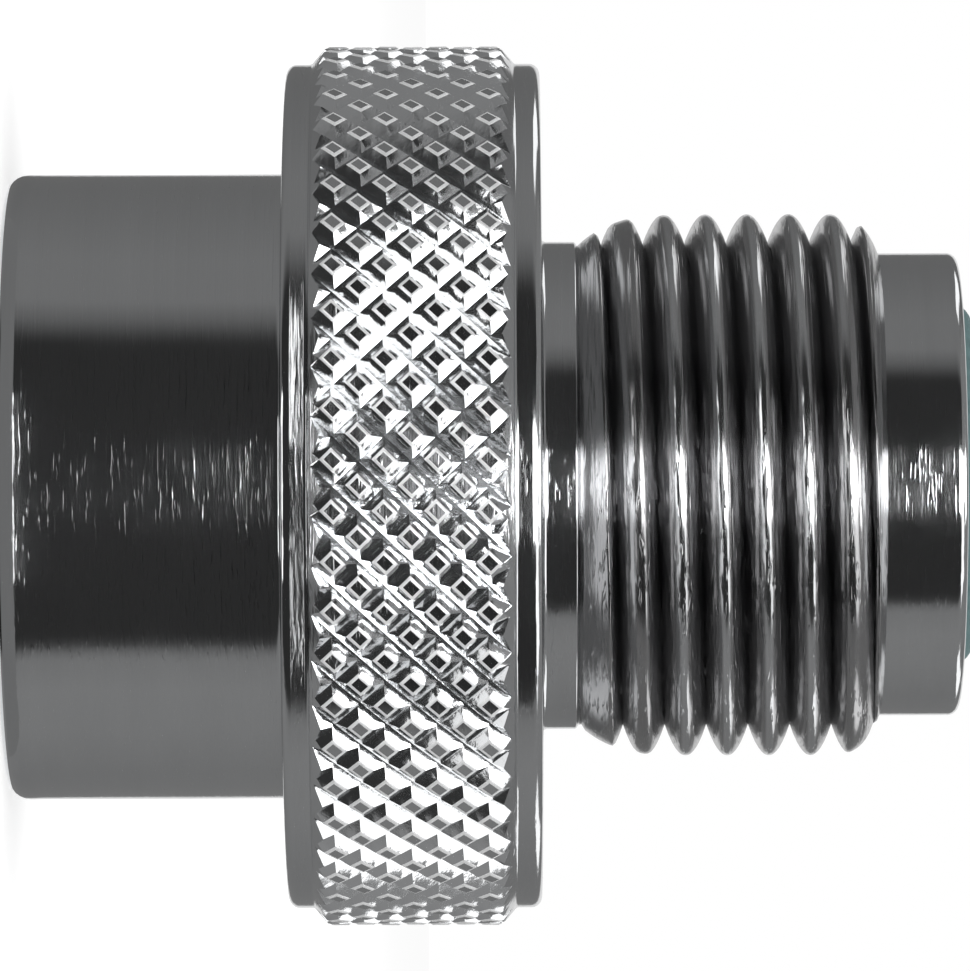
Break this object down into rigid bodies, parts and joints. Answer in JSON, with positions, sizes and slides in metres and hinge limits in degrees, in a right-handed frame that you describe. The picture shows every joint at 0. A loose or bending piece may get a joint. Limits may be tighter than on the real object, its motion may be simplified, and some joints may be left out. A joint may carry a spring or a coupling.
{
  "type": "threaded adapter",
  "caption": "Turned and plated gas connection adapter: female threaded socket, diamond-knurled grip collar, male threaded end and a nose with a face seal.",
  "frame": {"origin": "centre of the socket's rim, on which the adapter stands", "axes": "+Z along the turning axis, from the socket to the nose; X and Y are free, because the part is turned"},
  "size_m": [0.0422, 0.0422, 0.0463],
  "materials": {
    "plated_brass": "polished",
    "seal_rubber": "matte"
  },
  "bodies": {
    "root": {"adapter_body": "plated_brass", "nose_o_ring": "seal_rubber"}
  },
  "joints": []
}
